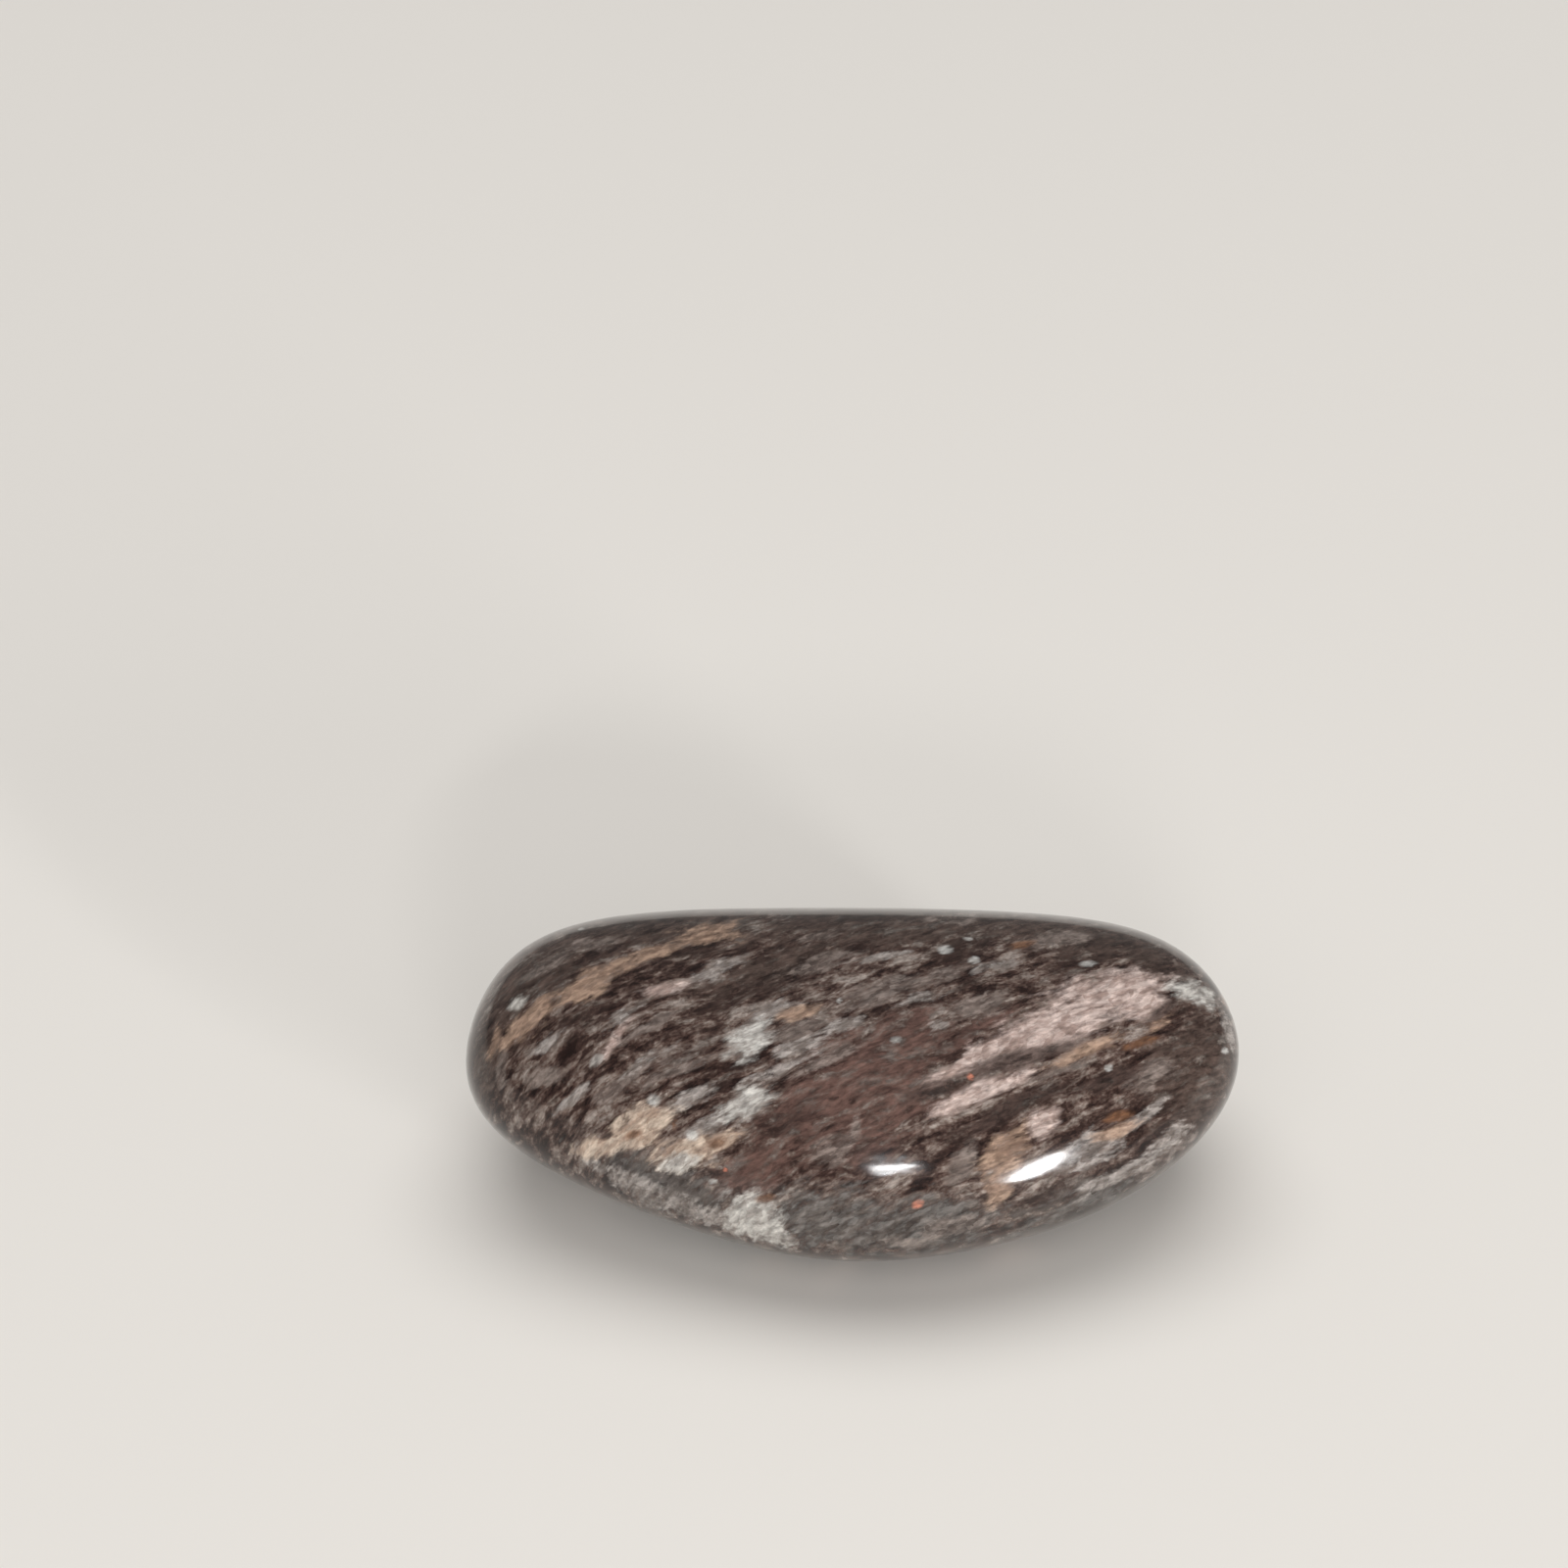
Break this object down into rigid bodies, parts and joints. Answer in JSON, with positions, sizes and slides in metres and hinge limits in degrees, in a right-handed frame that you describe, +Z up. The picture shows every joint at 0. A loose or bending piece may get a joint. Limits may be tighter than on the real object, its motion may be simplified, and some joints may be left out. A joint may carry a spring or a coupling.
{
  "type": "polished granite pebble",
  "caption": "Rounded oblong pebble of dark streaked granite, tumbled and polished all over, resting on a worn flat on its underside.",
  "frame": {"origin": "on the surface the stone rests on, under the middle of its outline", "axes": "+Z up, +X along the stone's length, -Y towards its rounded front and +Y towards its straighter back"},
  "size_m": [0.04, 0.0228, 0.0154],
  "materials": {
    "polished_granite": "tumbled to a high polish; dark grey-brown foliated granite with pink, tan and white streaks"
  },
  "bodies": {
    "root": {"stone": "polished_granite"}
  },
  "joints": []
}
